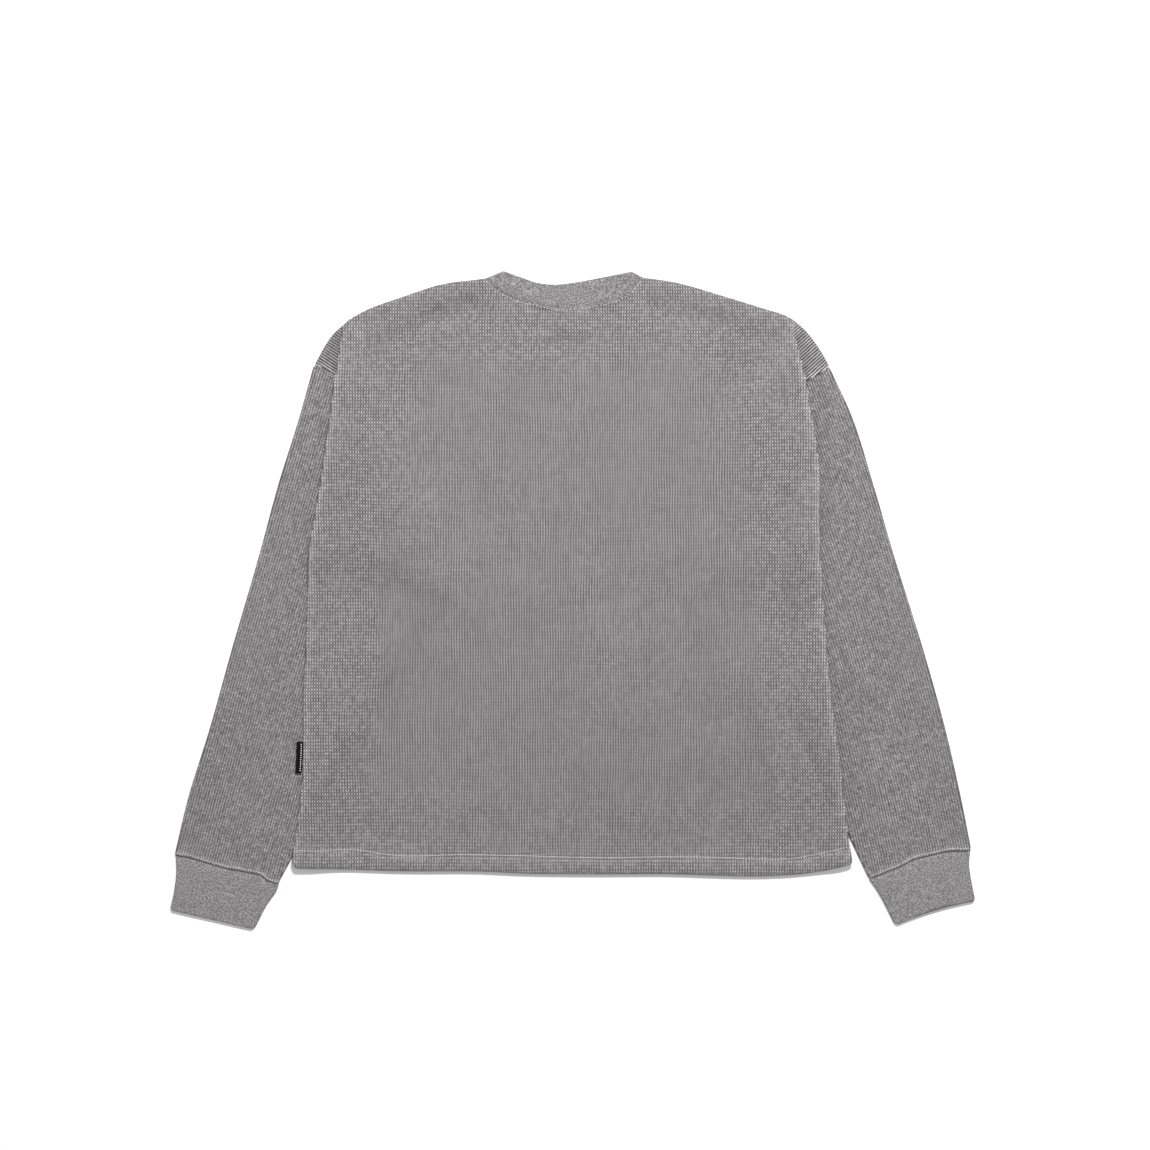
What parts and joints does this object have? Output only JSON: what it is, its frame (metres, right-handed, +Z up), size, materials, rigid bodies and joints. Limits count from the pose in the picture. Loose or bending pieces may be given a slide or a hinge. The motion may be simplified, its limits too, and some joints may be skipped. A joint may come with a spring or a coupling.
{
  "type": "thermal top",
  "caption": "Boxy long-sleeved waffle-knit thermal top with crew neck, rib collar and cuffs and turned hem, laid flat on its front with the sleeves folded down beside the body.",
  "frame": {"origin": "on the surface that the top lies on, at the middle of the whole outline, cuffs and collar included", "axes": "+X across the chest from the picture's left to its right, +Y from hem to neck, +Z up out of the back panel"},
  "size_m": [0.8878, 0.7268, 0.0135],
  "materials": {
    "waffle_knit": "heather grey waffle knit, matt, raised vertical ribs and small square pits",
    "rib_knit": "heather grey fine rib knit, matt, slightly lighter and smoother than the body",
    "woven_tape": "black woven tape, dull satin"
  },
  "bodies": {
    "root": {"front_panel": "waffle_knit", "back_panel": "waffle_knit", "collar": "rib_knit", "sleeve_left": "waffle_knit", "sleeve_right": "waffle_knit", "cuff_left": "rib_knit", "cuff_right": "rib_knit", "pleat_left": "waffle_knit", "pleat_right": "waffle_knit", "side_label": "woven_tape"}
  },
  "joints": []
}
